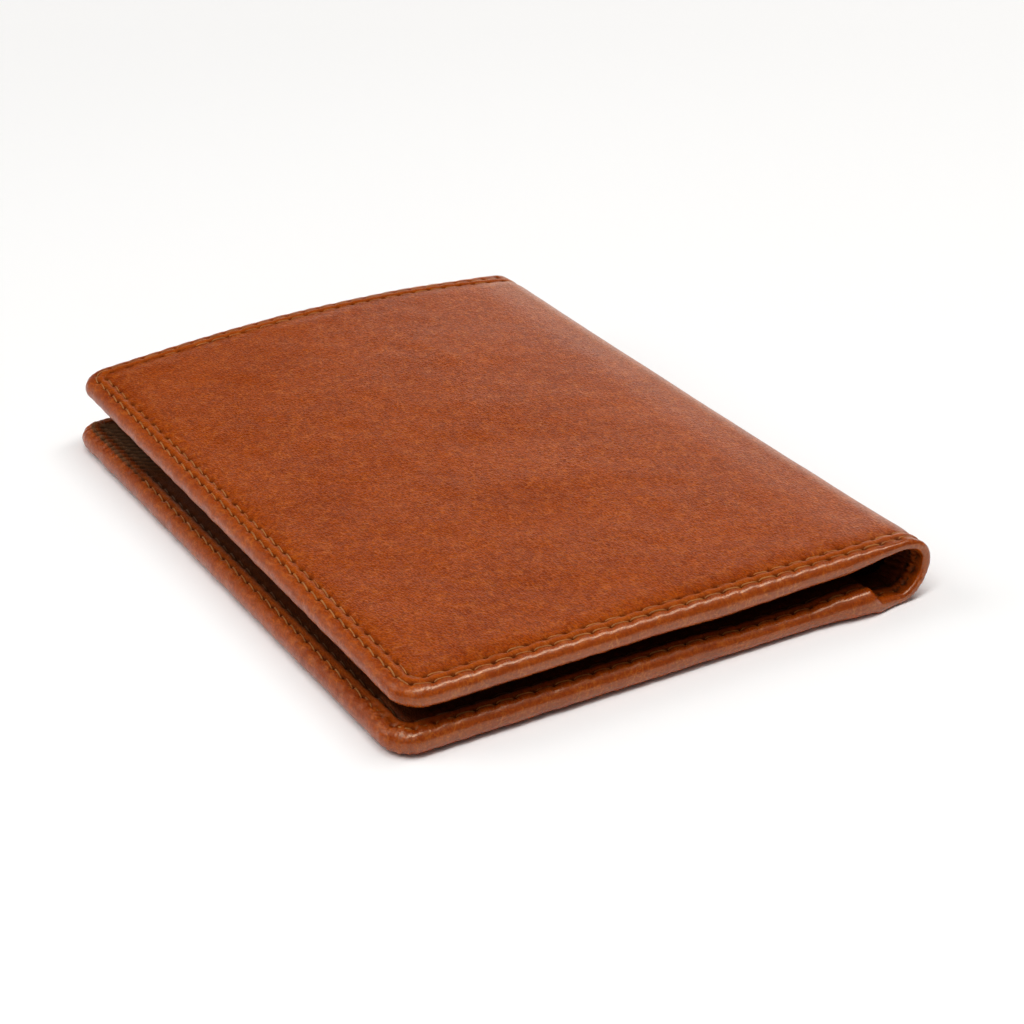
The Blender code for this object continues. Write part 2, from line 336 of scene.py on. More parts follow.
def edge_lift(leaf, angle, inset, s, y, p):
    """Everything that moves the skin of a turned edge outwards. leaf is None on the spine."""
    roll = np.sin(angle)
    wrinkles = WRINKLE * waves(s, y, 7 * MM, 2.5 * MM, 16, 11)
    lift = roll * (wrinkles + CRINKLE * waves(s, y, 1.6 * MM, 0.7 * MM, 20, 12))
    if leaf is None:
        fade = smooth(s / (1.5 * MM)) * smooth((0.6 * ARC - s) / (3 * MM))
        lift = lift + roll * bulge(s, y)
        bunches = np.abs(np.sin(math.pi * s / BUNCH_PERIOD + inset / (1.1 * MM))) - 0.5
        return lift + BUNCH * roll * fade * bunches
    q = np.minimum(p, leaf.total - p)
    at_corner = np.exp(-(((q - leaf.straight - leaf.turn / 2) / (3.2 * MM)) ** 2))
    creases = np.sin(2 * math.pi * q / (1.15 * MM) + 2.0 * np.sin(q / (1.7 * MM)))
    creased = np.clip(roll + 0.3 * (inset < 2.2 * MM), 0, 1)
    lift = lift + CORNER_CREASE[leaf.name] * at_corner * creases * creased
    if leaf is BACK:
        lift = lift + roll * bulge(s, y) + pleats(p, inset, leaf) * (angle < 1.0)
    return lift


def bulge(s, y):
    return BULGE * np.exp(-(((s - BULGE_PLACE) / BULGE_REACH) ** 2)) * (y < 0)


def painted_flange_shade(inset, angle):
    """Painted shade on the turned-in leather inside the wallet: light over the whole flange, deep beyond its stitches.
    """
    return (0.2 + 0.85 * smooth((inset - 1.8 * MM) / (1.1 * MM))) * (angle < ON_FLANGE)


def pleated(p, leaf):
    """Where the leather is gathered on the flange, beside the two open corners: 0 to 1 for each."""
    far = leaf.total - leaf.straight - leaf.turn
    near = leaf.straight + leaf.turn
    at_far = smooth((p - far + BRAID_LENGTH) / (13 * MM)) * smooth((far + leaf.turn - p) / (0.8 * MM))
    at_near = smooth((p - near + leaf.turn + 5 * MM) / (3 * MM)) * smooth((near + 7 * MM - p) / (3 * MM))
    return at_far, at_near


def pleats(p, inset, leaf):
    """Height of the gathered leather: a braid of lumps beside the far corner, folds along the edge beside the near."""
    far, near = pleated(p, leaf)
    first, last = 1.3 * MM, 4.3 * MM
    folds = np.sin(2 * math.pi * (inset - first) / FOLD_PERIOD) * (inset > first) * (inset < last)
    total = FOLD * near * folds
    for band, shift in ((1.6 * MM, 0.0), (2.95 * MM, 0.5), (4.3 * MM, 0.0)):
        row = np.exp(-(((inset - band) / BRAID_WIDTH) ** 2))
        lumps = np.abs(np.sin(math.pi * (p / BRAID_PERIOD + shift + (inset - band) / (5 * MM))))
        total = total + BRAID * (far + 0.4 * near * (band < 2 * MM)) * row * (lumps - 0.5)
    return total


# ---------------------------------------------------------------- meshes

SHARP_ANGLE = math.radians(50)


def make_mesh(name, points, faces, flat, paint):
    """A closed mesh. flat is each point's place on the sheet in millimetres, paint its marks (dark, worn, gloss).
    Dark is painted shade. Worn below 0 is raw, undyed leather."""
    mesh = bpy.data.meshes.new(name)
    mesh.from_pydata(points, [], faces)
    attribute = mesh.attributes.new("flat", "FLOAT_VECTOR", "POINT")
    attribute.data.foreach_set("vector", np.asarray(flat, np.float32).ravel())
    attribute = mesh.attributes.new("marks", "FLOAT_VECTOR", "POINT")
    attribute.data.foreach_set("vector", np.asarray(paint, np.float32).ravel())
    bm = bmesh.new()
    bm.from_mesh(mesh)
    bmesh.ops.recalc_face_normals(bm, faces=bm.faces[:])
    if bm.calc_volume(signed=True) < 0:
        bmesh.ops.reverse_faces(bm, faces=bm.faces[:])
    bm.to_mesh(mesh)
    bm.free()
    mesh.shade_smooth()
    mesh.set_sharp_from_angle(angle=SHARP_ANGLE)
    obj = bpy.data.objects.new(name, mesh)
    bpy.context.scene.collection.objects.link(obj)
    return obj


class Skin:
    """Points of a piece as they are made, with what is painted on them."""

    def __init__(self):
        self.points, self.flat, self.paint, self.faces = [], [], [], []
        self.count = 0

    def add(self, s, y, depth, dark=0.0, worn=0.0, gloss=0.0):
        """Adds an array of points and returns their numbers in the same arrangement."""
        s, y, depth, dark, worn, gloss = np.broadcast_arrays(s, y, depth, dark, worn, gloss)
        self.points.append(rolled(s, y, depth).reshape(-1, 3))
        self.flat.append(np.stack([s, y, depth], -1).reshape(-1, 3) / MM)
        self.paint.append(np.stack([dark, worn, gloss], -1).reshape(-1, 3))
        numbers = np.arange(self.count, self.count + s.size).reshape(s.shape)
        self.count += s.size
        return numbers

    def sheet(self, grid, wrap=False):
        """Four-sided faces over a grid of point numbers."""
        rows = len(grid) if wrap else len(grid) - 1
        for i in range(rows):
            a, b = grid[i], grid[(i + 1) % len(grid)]
            self.faces += zip(a[:-1].tolist(), a[1:].tolist(), b[1:].tolist(), b[:-1].tolist())

    def make(self, name):
        points, flat, paint = (np.concatenate(part) for part in (self.points, self.flat, self.paint))
        return make_mesh(name, points, self.faces, flat, paint)


def gloss_of(angle):
    """The roll of an edge is burnished."""
    return np.minimum(1.3 * np.clip(np.sin(angle), 0, 1) ** 0.6, 1)


def spine_gloss(s):
    """The leather is polished where it is stretched over the spine, and a little way onto each leaf."""
    return 0.22 * smooth((s + 7 * MM) / (8 * MM)) * smooth((ARC + 7 * MM - s) / (8 * MM))


def leaf_cover(leaf):
    """The outer leather of a leaf with its turned edges, as one closed skin."""
    skin = Skin()
    p = leaf.stations()
    coarse = p[::FINE]
    across, along = leaf.cells
    thickness = leaf.thickness(p)
    angle = ANGLES[:, None]

    def ring(places, thick, depth_in):
        inset, depth = section(thick, depth_in)
        places = np.broadcast_to(places, inset.shape)
        u, y = leaf.station(places, inset)
        s = leaf.s(u)
        rows = {row: (leaf.row_place(places, at), leaf.pitch(at)) for row, at in ROWS.items()}
        pull, dark, ridge = stitched(inset, rows)
        flat_part = np.cos(angle) ** 2
        lift = edge_lift(leaf, angle, inset, s, y, places) + settled(s, y, inset) * (angle > ON_PANEL)
        lift = lift + pull * flat_part
        lift = lift * (depth_in == 0)
        # Painted shade on the flange inside the wallet.
        dark = dark + painted_flange_shade(inset, angle)
        at_open = smooth((np.minimum(places, leaf.total - places) - leaf.straight) / leaf.turn)
        worn, gloss = ridge * flat_part, np.maximum(gloss_of(angle) * (1 - 0.62 * at_open), spine_gloss(s))
        if leaf is BACK:
            gathered_here, folded_here = (share * (angle < ON_FLANGE) for share in pleated(places, leaf))
            folded_here = folded_here * smooth((3.8 * MM - inset) / (1.4 * MM))
            worn = worn - 0.8 * gathered_here
            gloss = np.maximum(gloss, 0.5 * folded_here)
            # Less painted shade on the folds beside the near corner, and painted shade in the gaps between the braid's
            # lumps.
            dark = dark * (1 - 0.65 * folded_here)
            painted_gap_shade = 0.72 - pleats(places, inset, leaf) / (0.5 * MM)
            dark = np.clip(dark * (1 - 0.7 * gathered_here) + painted_gap_shade * gathered_here, 0, 1.3)
        u, y = leaf.station(places, inset - lift * np.sin(angle))
        depth = depth + lift * np.cos(angle)
        s = leaf.s(u)
        return s, y, depth, dark * flat_part, worn, gloss

    def panel(depth_in):
        u = np.linspace(0, leaf.width - PANEL_INSET, across + 1)[:, None]
        y = np.linspace(-1, 1, along + 1)[None, :] * (LENGTH / 2 - PANEL_INSET)
        s = leaf.s(u)
        lift = 0 if depth_in else settled(s, y, np.full((across + 1, along + 1), PANEL_INSET))
        return s, y, depth_in - lift + 0 * (u + y), 0.0, 0.0, spine_gloss(s)

    def border(grid):
        """The panel's points that the coarse places along the edge meet, in their order."""
        corner_cells = (len(coarse) - 1 - 2 * across - along) // 2
        near = grid[:, 0].tolist() + [grid[-1, 0]] * corner_cells
        middle = grid[-1, 1:].tolist() + [grid[-1, -1]] * corner_cells
        return near + middle + grid[-2::-1, -1].tolist()

    outer = skin.add(*(a[:-1] for a in ring(p, thickness, 0)))
    inner = skin.add(*(a[:-1] for a in ring(coarse, thickness[::FINE], SKIN)))
    top, under = skin.add(*panel(0)), skin.add(*panel(SKIN))
    skin.sheet(outer)
    skin.sheet(inner)
    skin.sheet(top)
    skin.sheet(under)
    for number, rim in ((outer[-1], border(top)), (inner[-1], border(under))):
        step = FINE if len(number) == len(p) else 1
        for i in range(len(coarse) - 1):
            face = number[i * step : (i + 1) * step + 1].tolist()
            face += [rim[i + 1], rim[i]] if rim[i + 1] != rim[i] else [rim[i]]
            skin.faces.append(face)
    for i in range(len(coarse) - 1):
        face = outer[0][i * FINE : (i + 1) * FINE + 1].tolist()
        skin.faces.append([*face, inner[0][i + 1], inner[0][i]])
    outside = [*outer[:, 0], *top[0], *outer[::-1, -1]]
    inside = [*inner[:, 0], *under[0], *inner[::-1, -1]]
    skin.sheet(np.array([outside, inside]))
    return skin


def spine_profile(depth_in):
    """Across the spine from the near flange to the far one: side, inset, depth and angle of each point."""
    inset, depth = (a[:-1, 0] for a in section(SPINE_EDGE, depth_in))
    angle = ANGLES[:-1]
    cells = BACK.cells[1]
    y = np.linspace(-1, 1, cells + 1) * (LENGTH / 2 - PANEL_INSET)
    middle = np.full(cells + 1, PANEL_INSET)
    sides = np.concatenate([np.full(len(inset), -1.0), np.zeros(cells + 1), np.full(len(inset), 1.0)])
    insets = np.concatenate([inset, middle, inset[::-1]])
    depths = np.concatenate([depth, np.full(cells + 1, depth_in * 1.0), depth[::-1]])
    angles = np.concatenate([angle, np.full(cells + 1, math.pi), angle[::-1]])
    flat_y = np.concatenate([0 * inset, y, 0 * inset])
    return sides, insets, depths, angles, flat_y


def strip_places(index):
    """Rows of points across one strip of the spine, with a close pair at each end."""
    start, end = ARC * index / STRIPS, ARC * (index + 1) / STRIPS
    inside = np.linspace(start, end, STRIP_ROWS)
    return np.concatenate([[start, start + CLOSE_ROW], inside[1:-1], [end - CLOSE_ROW, end]])


def spine_cover(index):
    """The outer leather of one strip of the spine, as one closed skin."""
    skin = Skin()
    s = strip_places(index)[:, None]
    loops = []
    for depth_in in (0, SKIN):
        sides, inset, depth, angle, flat_y = spine_profile(depth_in)
        y = np.where(sides == 0, flat_y, sides * (LENGTH / 2 - inset))
        grid_inset = np.broadcast_to(inset, (len(s), len(inset)))
        pitch = ARC / SPINE_STITCHES
        pull, dark, ridge = stitched(grid_inset, {row: (s, pitch) for row in ROWS})
        flat_part = np.cos(angle) ** 2
        lift = edge_lift(None, angle, grid_inset, s, y, None) + settled(s, y, grid_inset) * (angle > ON_PANEL)
        lift = (lift + pull * flat_part) * (depth_in == 0)
        y = y + np.where(sides == 0, 0, sides) * lift * np.sin(angle)
        gathers = gathered(s, inset, angle) * (depth_in == 0)
        inside = bunched(s) * np.clip(np.cos(angle), 0, 1)
        # Painted shade on the flange inside the spine, a little less where it bunches.
        dark = np.minimum(dark + painted_flange_shade(grid_inset, angle) * (1 - 0.3 * inside), 1.25)
        depth = depth + lift * np.cos(angle) + gathers
        gloss = np.maximum(gloss_of(angle) + 0.6 * inside, spine_gloss(s) + 0 * y)
        loops.append(skin.add(s + 0 * y, y, depth, dark * flat_part, ridge * flat_part, gloss))
        skin.sheet(loops[-1])
    outside, inside = loops
    for row in (0, -1):
        skin.sheet(np.array([outside[row], inside[row]]))
    for column in (0, -1):
        skin.sheet(np.array([outside[:, column], inside[:, column]]))
    return skin


def bunched(s):
    """How far the bend bunches the flange inside the spine, from none at its ends to 1."""
    return smooth(s / (2.5 * MM)) * smooth((ARC - s) / (2.5 * MM))


def gathered(s, inset, angle):
    """Small folds of the bunched flange."""
    wander = 1.3 * np.sin(s / (1.1 * MM)) + inset / (1.5 * MM)
    folds = np.abs(np.sin(math.pi * s / INNER_PERIOD + wander)) - 0.5
    on_flange = np.clip(np.cos(angle), 0, 1) * smooth((inset - 0.6 * MM) / (0.9 * MM))
    return INNER_BUNCH * bunched(s) * folds * on_flange


# ---------------------------------------------------------------- stitches

THREAD = 0.105 * MM
THREAD_SIDES = 8
THREAD_STEPS = 9
THREAD_SLANT = 0.26 * MM
# A stitch takes this share of its pitch, with a gap at each end of it.
STITCH_SHARE, STITCH_GAP = 0.9, 0.05
# How deep a stitch lies in the middle, how much deeper its ends go, and how irregular stitches are, in millimetres.
THREAD_SINK, END_SINK = 0.06 * MM, 0.26 * MM
UNEVEN = 0.05
# Painted shade on the threads that lie inside the wallet.
HIDDEN_SHADE = 0.85


def add_stitch(skin, place, face, first, last, begin, end, inset, jitter, shade):
    """One stitch along a row, or the part of it between begin and end (0 to 1). place turns a distance along the
    row and an inset into s and y, and face gives the depth and the outward sense of the face it lies on. jitter is
    how far in from the row and how much deeper it lies, in millimetres."""
    t = np.linspace(begin, end, THREAD_STEPS)[:, None]
    bow = np.abs(2 * t - 1)
    radius = THREAD * (1 - 0.35 * bow**6)
    slant = THREAD_SLANT * (t - 0.5) + jitter[0] * MM
    sink = THREAD_SINK + jitter[1] * MM + END_SINK * bow**4
    turn = np.linspace(0, 2 * math.pi, THREAD_SIDES, endpoint=False)[None, :]
    along = first + (last - first) * (STITCH_GAP + STITCH_SHARE * t)
    depth, sense = face(along)
    across = inset + slant + radius * np.cos(turn)
    s, y = place(along + 0 * turn, across)
    level = depth + sense * (radius * np.sin(turn) - sink)
    numbers = skin.add(s, y, level, shade, 0.5, 0)
    rings = np.concatenate([numbers, numbers[:, :1]], 1)
    skin.sheet(rings)
    skin.faces += [numbers[0].tolist(), numbers[-1].tolist()]


def leaf_threads(leaf, row):
    """The stitches of one row round a leaf, on both its faces. None show in the braid."""
    skin = Skin()
    inset = ROWS[row]
    pitch = leaf.pitch(inset)
    count = round(leaf.row_length(inset) / pitch)
    rng = np.random.default_rng(21 if row == "outer" else 22)

    def place(along, across):
        u, y = leaf.station(leaf.place_of(along, inset), across)
        return leaf.s(u), y

    def flange_face(along):
        return leaf.thickness(leaf.place_of(along, inset)), 1.0

    def outer_face(along):
        return 0 * along, -1.0

    for k in range(count):
        for face in (flange_face, outer_face):
            middle = leaf.place_of(np.array((k + 0.5) * pitch), inset)
            if leaf is BACK and face is flange_face and pleated(middle, leaf)[0] > 0.3:
                continue
            jitter = rng.normal(0, UNEVEN, 2) * (1, 0.6)
            jitter[1] += 0.05 if face is flange_face else (0.07 if row == "inner" else 0.03)
            if leaf is BACK and face is outer_face:
                # Pressed in, because the wallet lies on this face.
                jitter[1] = 0.16
            shade = HIDDEN_SHADE if row == "inner" and face is flange_face else 0.0
            add_stitch(skin, place, face, k * pitch, (k + 1) * pitch, 0.0, 1.0, inset, jitter, shade)
    return skin


def spine_threads(index):
    """The stitches of both rows at both ends of one strip of the spine, cut where the strip ends."""
    skin = Skin()
    low_s, high_s = ARC * index / STRIPS, ARC * (index + 1) / STRIPS
    pitch = ARC / SPINE_STITCHES
    for row, inset in ROWS.items():
        for side in (-1, 1):
            for k in range(SPINE_STITCHES):
                first, last = k * pitch, (k + 1) * pitch
                cuts = [(cut - first) / pitch / STITCH_SHARE for cut in (low_s, high_s)]
                begin, end = (cut - STITCH_GAP / STITCH_SHARE for cut in cuts)
                begin, end = max(begin, 0.0), min(end, 1.0)
                if end - begin < 1e-6:
                    continue
                for depth, sense in ((SPINE_EDGE, 1.0), (0.0, -1.0)):
                    add_stitch(
                        skin,
                        lambda along, across, side=side: (along, side * (LENGTH / 2 - across)),
                        lambda along, depth=depth, sense=sense: (depth, sense),
                        first,
                        last,
                        begin,
                        end,
                        inset,
                        (0.0, UNEVEN),
                        HIDDEN_SHADE if sense > 0 else 0.0,
                    )
    return skin


# ---------------------------------------------------------------- linings and pockets

LINING_LOW, LINING_HIGH = 0.6 * MM, 0.95 * MM
CREASE, CREASE_PLACE, CREASE_WIDTH = 0.09 * MM, 1.2 * MM, 0.16 * MM
# How far from the spine the pockets' mouths are, where the lining of the spine ends.
BACK_MOUTH, FRONT_MOUTH = 4.35 * MM, 8.2 * MM


def slab(s, y, low_depth, high_depth):
    """A closed sheet of leather over a grid of s and y, between two depths."""
    skin = Skin()
    s, y = np.broadcast_arrays(s, y)
    first, second = (skin.add(s, y, depth + 0 * s) for depth in (low_depth, high_depth))
    skin.sheet(first)
    skin.sheet(second)
    for edge in ((0,), (-1,), (slice(None), 0), (slice(None), -1)):
        skin.sheet(np.array([first[edge], second[edge]]))
    return skin


def lining_y():
    return np.linspace(-1, 1, 90)[None, :] * (LENGTH / 2 - FLANGE + 1.5 * MM)


def lining_depths(y):
    """The lining dips where it goes under the flange."""
    under = smooth((np.abs(y) - (LENGTH / 2 - FLANGE - 0.6 * MM)) / (0.5 * MM))
    return LINING_LOW - 0.06 * MM * under, LINING_HIGH - 0.2 * MM * under


def pocket(leaf, start, low_depth, high_depth):
    """A pocket panel, with a rounded mouth towards the spine and a creased line beside it."""
    skin = Skin()
    inset = 2.2 * MM
    y = np.linspace(-1, 1, 100)[None, :] * (LENGTH / 2 - inset)
    middle, half = (low_depth + high_depth) / 2, (high_depth - low_depth) / 2
    reach = leaf.width - inset - start
    turn = np.linspace(-math.pi / 2, math.pi / 2, 9)[:, None]
    wander = 0.08 * MM * waves(y, 0 * y, 30 * MM, 12 * MM, 6, 31)
    near = np.array([0.25, 0.5, 0.75, 0.95, 1.1, 1.2, 1.3, 1.45, 1.7, 2.1, 2.8]) * MM
    top_u = np.concatenate([near, np.linspace(4 * MM, reach, 40)])[:, None]
    crease = CREASE * np.exp(-(((top_u - CREASE_PLACE) / CREASE_WIDTH) ** 2))
    swell = 0.05 * MM * waves(start + top_u, y, 30 * MM, 12 * MM, 10, 33)
    mouth_u = half * (1 - np.cos(turn))
    mouth = skin.add(leaf.s(start + mouth_u + wander), y, middle + half * np.sin(turn) + 0 * y, gloss=0.5)
    top = skin.add(
        leaf.s(start + half + top_u + wander),
        y,
        high_depth - crease + swell * smooth(top_u / (4 * MM)) + 0 * y,
        # Painted shade in the creased line.
        dark=0.8 * crease / CREASE,
    )
    back = skin.add(leaf.s(start + half + top_u + wander), y, low_depth + 0 * y + 0 * top_u)
    grid = np.concatenate([back[::-1], mouth, top])
    skin.sheet(grid, wrap=True)
    for column in (0, -1):
        edge = grid[:, column]
        count = len(edge)
        for i in range(count // 2 - 1):
            skin.faces.append([edge[i], edge[i + 1], edge[count - 2 - i], edge[count - 1 - i]])
        if count % 2:
            i = count // 2
            skin.faces.append([edge[i - 1], edge[i], edge[i + 1]])
    return skin


# ---------------------------------------------------------------- materials


class Nodes:
    """A short way to wire up a procedural material."""

    def __init__(self, name):
        self.material = bpy.data.materials.new(name)
        self.material.use_nodes = True
        self.tree = self.material.node_tree
        self.shader = self.tree.nodes["Principled BSDF"]

    def node(self, kind, inputs=(), **settings):
        made = self.tree.nodes.new(kind)
        for key, value in settings.items():
            setattr(made, key, value)
        for key, value in dict(inputs).items():
            self.put(value, made.inputs[key])
        return made

    def put(self, value, socket):
        if isinstance(value, bpy.types.NodeSocket):
            self.tree.links.new(value, socket)
        elif isinstance(value, bpy.types.Node):
            self.tree.links.new(value.outputs[0], socket)
        else:
            socket.default_value = value

    def attribute(self, name):
        return self.node("ShaderNodeAttribute", attribute_name=name).outputs["Vector"]

    def noise(self, place, scale, detail=2.0, rough=0.5, distortion=0.0):
        made = self.node(
            "ShaderNodeTexNoise",
            {"Vector": place, "Scale": scale, "Detail": detail, "Roughness": rough, "Distortion": distortion},
        )
        return made.outputs["Fac"]

    def cells(self, place, scale):
        """Distance to the nearest border between irregular cells."""
        made = self.node("ShaderNodeTexVoronoi", {"Vector": place, "Scale": scale}, feature="DISTANCE_TO_EDGE")
        return made.outputs["Distance"]

    def math(self, operation, a, b=0.0):
        return self.node("ShaderNodeMath", {0: a, 1: b}, operation=operation).outputs[0]

    def spread(self, value, low_end, high_end, to_low=0.0, to_high=1.0):
        """Maps one range onto another."""
        inputs = {0: value, 1: low_end, 2: high_end, 3: to_low, 4: to_high}
        return self.node("ShaderNodeMapRange", inputs).outputs[0]

    def mix(self, share, a, b):
        """Goes from colour a to colour b as share goes from 0 to 1."""
        made = self.node("ShaderNodeMix", data_type="RGBA")
        for value, index in ((share, 0), (a, 6), (b, 7)):
            if isinstance(value, tuple):
                value = (*value, 1.0)
            self.put(value, made.inputs[index])
        return made.outputs[2]

    def bump(self, height, distance):
        return self.node("ShaderNodeBump", {"Height": height, "Distance": distance, "Strength": 1.0}).outputs[0]


def cover_leather():
    """Tan leather with cloudy colour, fibres along the spine, broken light veins and a fine dark grain."""
    n = Nodes("cover_leather_look")
    place = n.attribute("flat")
    marks = n.node("ShaderNodeSeparateXYZ", {0: n.attribute("marks")})
    dark, worn, gloss = marks.outputs
    clouds = n.noise(place, 0.07, 3.0, 0.55)
    color = n.mix(n.spread(clouds, 0.34, 0.66), (0.272, 0.036, 0.0008), (0.340, 0.050, 0.0010))
    mottle = n.noise(place, 0.5, 4.0, 0.65)
    color = n.mix(n.spread(mottle, 0.42, 0.62, 0.0, 0.35), color, (0.44, 0.078, 0.003))
    lay = n.node("ShaderNodeMapping", {0: place, "Scale": (1.2, 0.58, 1.0)})
    fibres = n.noise(lay, 2.2, 4.0, 0.62, 1.4)
    calm = n.spread(gloss, 0.0, 0.6, 1.0, 0.5)
    color = n.mix(n.math("MULTIPLY", calm, n.spread(fibres, 0.4, 0.56, 0.55, 0.0)), color, (0.14, 0.017, 0.001))
    color = n.mix(n.spread(fibres, 0.52, 0.66, 0.0, 0.38), color, (0.52, 0.108, 0.006))
    warp = n.noise(lay, 1.4, 2.0, 0.5)
    warped = n.node("ShaderNodeVectorMath", {0: lay.outputs[0], 1: warp}, operation="ADD").outputs[0]
    vein = n.spread(n.cells(warped, 1.15), 0.0, 0.17, 1.0, 0.0)
    broken = n.math("MULTIPLY", vein, n.spread(n.noise(place, 0.6, 3.0, 0.6), 0.47, 0.6))
    color = n.mix(n.math("MULTIPLY", broken, 0.36), color, (0.62, 0.165, 0.02))
    grain = n.noise(lay, 3.6, 3.0, 0.65)
    color = n.mix(n.spread(grain, 0.49, 0.64, 0.0, 0.42), color, (0.12, 0.015, 0.001))
    color = n.mix(n.math("MULTIPLY", worn, 0.5), color, (0.42, 0.078, 0.004))
    color = n.mix(n.math("MULTIPLY", worn, -1.0), color, (0.22, 0.125, 0.060))
    # Painted shade from the dark mark: dark brown, and rougher and less shiny there.
    color = n.mix(n.math("MINIMUM", n.math("MULTIPLY", dark, 0.75), 0.92), color, (0.024, 0.009, 0.004))
    n.put(color, n.shader.inputs["Base Color"])
    rough = n.math("ADD", n.spread(grain, 0.4, 0.62, 0.34, 0.44), n.math("MULTIPLY", gloss, -0.17))
    n.put(n.math("ADD", rough, n.math("MULTIPLY", dark, 0.22)), n.shader.inputs["Roughness"])
    height = n.math("MULTIPLY", n.spread(n.cells(lay, 2.6), 0.0, 0.25), 0.5)
    height = n.math("ADD", height, n.math("MULTIPLY", grain, 0.6))
    height = n.math("ADD", height, n.math("MULTIPLY", fibres, 1.2))
    height = n.math("SUBTRACT", height, n.math("MULTIPLY", broken, 0.25))
    quiet = n.spread(gloss, 0.0, 0.4, 1.0, 0.2)
    n.put(n.bump(n.math("MULTIPLY", height, quiet), 0.075 * MM), n.shader.inputs["Normal"])
    shine = n.math("MULTIPLY", n.spread(gloss, 0.0, 1.0, 0.065, 0.98), n.spread(dark, 0.0, 1.0, 1.0, 0.25))
    n.put(shine, n.shader.inputs["Specular IOR Level"])
    n.shader.inputs["Specular Tint"].default_value = (1.0, 0.80, 0.58, 1.0)
    return n.material


def inner_leather():
    """Dark brown matt leather of the pockets and the lining, darkened further as painted shade for the deep gap."""
    n = Nodes("inner_leather_look")
    place = n.attribute("flat")
    dark = n.node("ShaderNodeSeparateXYZ", {0: n.attribute("marks")}).outputs[0]
    clouds = n.noise(place, 0.15, 4.0, 0.6)
    grain = n.noise(place, 5.0, 3.0, 0.65)
    # Partly its own dark brown, partly painted shade: darker than the hidden inner leather so the gap reads dark.
    color = n.mix(n.spread(clouds, 0.3, 0.7), (0.016, 0.006, 0.003), (0.036, 0.013, 0.006))
    color = n.mix(n.spread(grain, 0.45, 0.7, 0.0, 0.5), color, (0.060, 0.023, 0.011))
    # Painted shade in the pockets' creased lines.
    color = n.mix(n.math("MULTIPLY", dark, 0.7), color, (0.012, 0.005, 0.003))
    n.put(color, n.shader.inputs["Base Color"])
    n.put(n.spread(grain, 0.3, 0.7, 0.66, 0.84), n.shader.inputs["Roughness"])
    n.shader.inputs["Specular IOR Level"].default_value = 0.25
    height = n.math("ADD", n.math("MULTIPLY", n.cells(place, 2.4), 0.8), n.math("MULTIPLY", grain, 0.6))
    n.put(n.bump(height, 0.05 * MM), n.shader.inputs["Normal"])
    return n.material


def thread_look():
    """Twisted golden tan thread, with painted shade where it lies inside the wallet."""
    n = Nodes("thread_look")
    place = n.attribute("flat")
    shade = n.node("ShaderNodeSeparateXYZ", {0: n.attribute("marks")}).outputs[0]
    fibre = n.noise(place, 9.0, 3.0, 0.7)
    color = n.mix(n.spread(n.noise(place, 0.9, 2.0, 0.5), 0.35, 0.65), (0.25, 0.080, 0.015), (0.43, 0.155, 0.032))
    color = n.mix(n.spread(fibre, 0.45, 0.7, 0.0, 0.6), color, (0.55, 0.25, 0.07))
    # Painted shade on the threads inside.
    color = n.mix(shade, color, (0.045, 0.016, 0.006))
    n.put(color, n.shader.inputs["Base Color"])
    n.put(n.spread(fibre, 0.3, 0.7, 0.45, 0.65), n.shader.inputs["Roughness"])
    n.put(n.spread(shade, 0.0, 1.0, 0.4, 0.05), n.shader.inputs["Specular IOR Level"])
    twist = n.node(
        "ShaderNodeTexWave",
        {"Vector": place, "Scale": 2.2, "Distortion": 1.5, "Detail": 1.0},
        bands_direction="DIAGONAL",
    ).outputs["Fac"]
    n.put(n.bump(n.math("ADD", twist, n.math("MULTIPLY", fibre, 0.5)), 0.04 * MM), n.shader.inputs["Normal"])
    return n.material


def solid_look(name, low_color, high_color, roughness):
    """For layers that are almost hidden: their own place gives the pattern."""
    n = Nodes(name)
    place = n.node("ShaderNodeTexCoord").outputs["Object"]
    fibre = n.noise(place, 900.0, 4.0, 0.7)
    color = n.mix(n.spread(fibre, 0.35, 0.65), low_color, high_color)
    n.put(color, n.shader.inputs["Base Color"])
    n.put(n.spread(fibre, 0.3, 0.7, roughness - 0.08, roughness + 0.05), n.shader.inputs["Roughness"])
    n.put(n.bump(fibre, 0.03 * MM), n.shader.inputs["Normal"])
    return n.material


def floor_look():
    n = Nodes("floor_look")
    place = n.node("ShaderNodeTexCoord").outputs["Object"]
    n.put(n.mix(n.noise(place, 3.0), (0.97, 0.97, 0.97), (0.98, 0.98, 0.98)), n.shader.inputs["Base Color"])
    n.shader.inputs["Roughness"].default_value = 0.9
    n.shader.inputs["Specular IOR Level"].default_value = 0.1
    # The floor goes over into the white backdrop.
    reach = n.node("ShaderNodeVectorMath", {0: place}, operation="LENGTH").outputs["Value"]
    fade = {0: reach, 1: 0.2, 2: 1.2, 3: 0.0, 4: 0.95}
    glow = n.node("ShaderNodeMapRange", fade, interpolation_type="SMOOTHSTEP")
    n.shader.inputs["Emission Color"].default_value = (1.0, 1.0, 1.0, 1.0)
    n.put(glow, n.shader.inputs["Emission Strength"])
    return n.material


# ---------------------------------------------------------------- the pieces

leather, lining, thread = cover_leather(), inner_leather(), thread_look()


def finish_piece(skin, name, material, replaced=()):
    obj = skin.make(name)
    obj.data.materials.append(material)
    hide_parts(*replaced)
    return obj


def bend(obj, index):
    """Bakes the placement of a strip of the spine into its mesh. The axis of its bend line and the way across
    the strip are worked out but not used.
    """
    joint = joints[f"spine_bend_{index + 1}"]
    axis = Vector(joint["axis"]).normalized()
    ends = [Vector(rolled(ARC * (index + end) / STRIPS, 0.0, 0.0)) for end in (0, 1)]
    way = ends[1] - ends[0]
    way = way - axis * way.dot(axis)
    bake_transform(obj)


